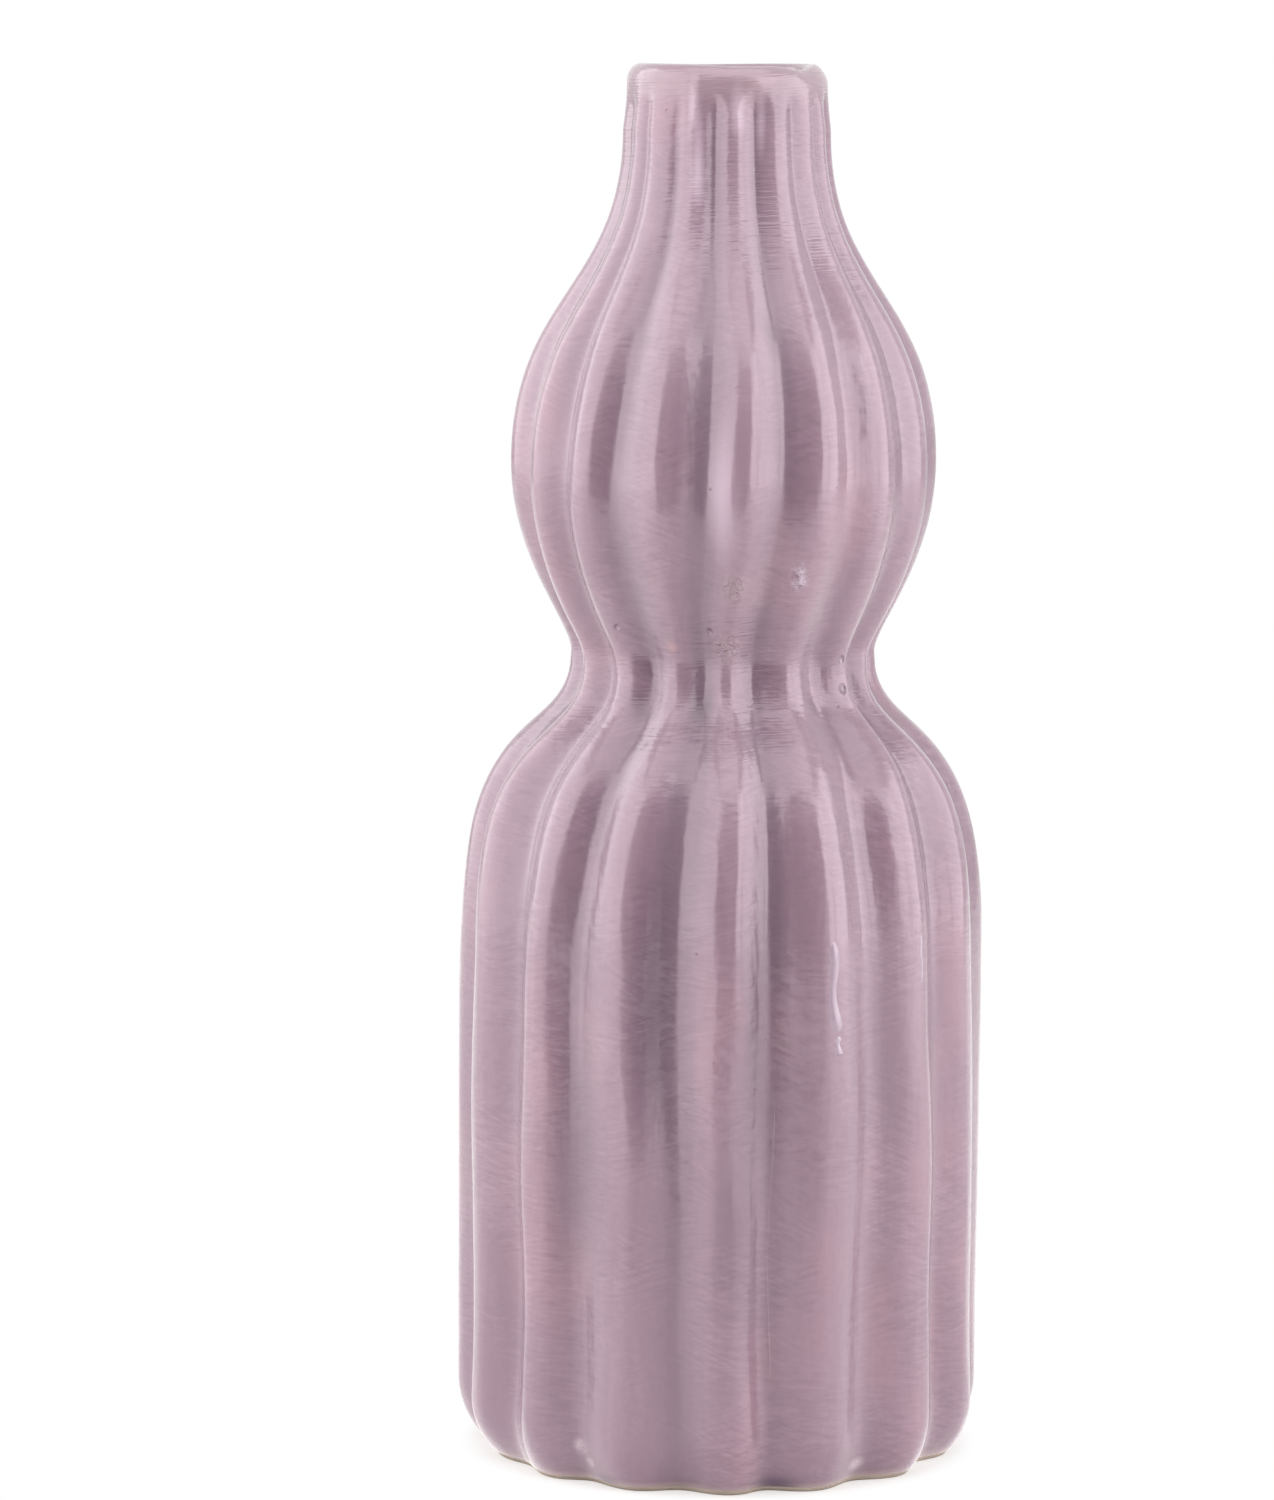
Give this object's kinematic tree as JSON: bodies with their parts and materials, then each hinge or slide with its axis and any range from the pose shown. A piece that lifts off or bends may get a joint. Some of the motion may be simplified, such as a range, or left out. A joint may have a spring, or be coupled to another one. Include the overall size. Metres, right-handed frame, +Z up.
{
  "type": "flower vase",
  "caption": "Tall fluted earthenware vase with a round-shouldered body, a narrow waist, a bulb and a short neck, glazed lilac.",
  "frame": {"origin": "centre of the foot, on the table", "axes": "+Z up along the vase's axis to the mouth, -Y towards the picture's camera, +X to the right there"},
  "size_m": [0.1137, 0.1138, 0.3],
  "materials": {
    "bare_clay": "matt fired earthenware, bare only round and under the foot",
    "lilac_glaze": "glossy, slightly see-through lilac glaze, thin and pinker on the crests and darker in the grooves",
    "liner_glaze": "the same glossy lilac glaze, poured through the inside and over the lip"
  },
  "bodies": {
    "root": {"earthenware_body": "bare_clay", "outer_glaze": "lilac_glaze", "inner_glaze": "liner_glaze"}
  },
  "joints": []
}
